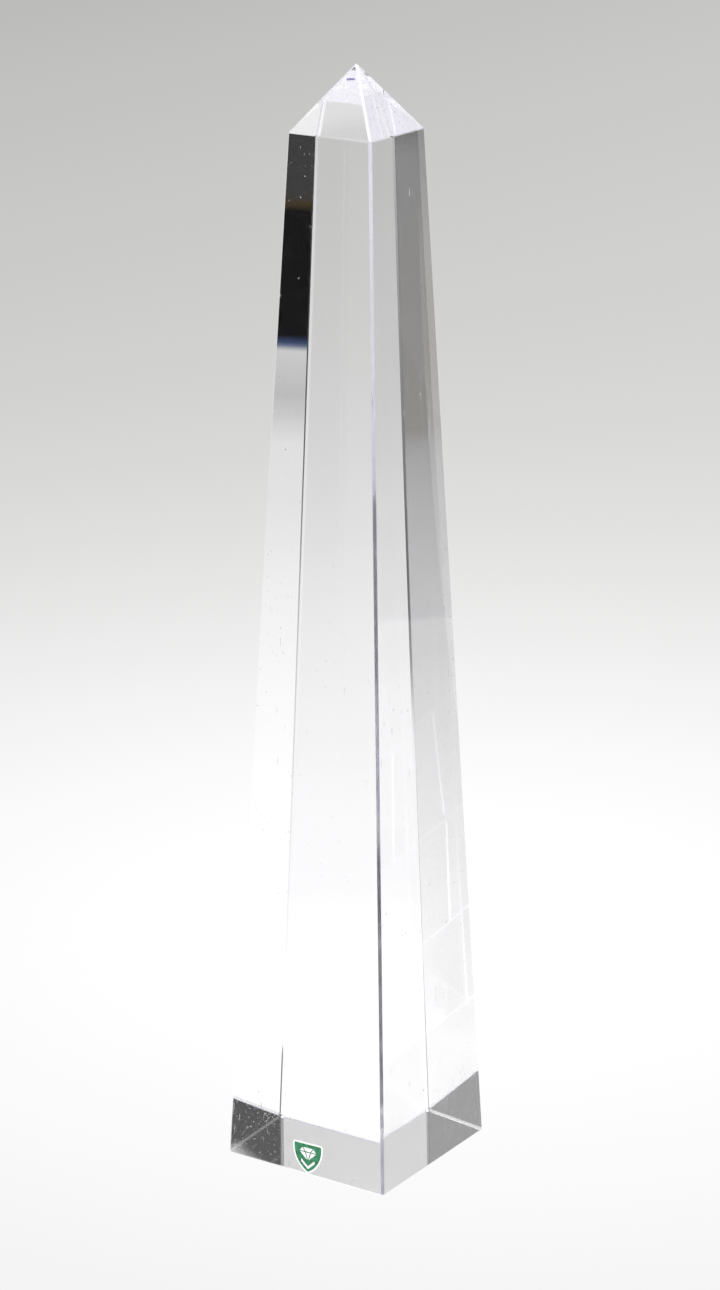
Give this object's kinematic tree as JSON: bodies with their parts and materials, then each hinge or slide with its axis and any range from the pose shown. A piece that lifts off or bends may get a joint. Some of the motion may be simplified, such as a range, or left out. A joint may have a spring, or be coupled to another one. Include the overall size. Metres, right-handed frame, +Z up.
{
  "type": "crystal obelisk award",
  "caption": "Tall tapered square crystal obelisk with a low pyramid point, narrow polished edge bevels, a flat base and a small shield-shaped sticker low on one face.",
  "frame": {"origin": "centre of the flat bottom face", "axes": "+Z up the obelisk to its point; -Y is the outward side of the face that carries the sticker; +X is to the right when looking at that face"},
  "size_m": [0.06, 0.0601, 0.3517],
  "materials": {
    "crystal": "water-clear optical crystal, cut flat and polished",
    "adhesive": "clear pressure-sensitive adhesive film",
    "label_white": "white coated film, soft gloss",
    "label_green": "green printed ink, soft gloss"
  },
  "bodies": {
    "root": {"crystal_obelisk": "crystal", "label_adhesive": "adhesive", "label_stock": "label_white", "label_ink": "label_green"}
  },
  "joints": []
}
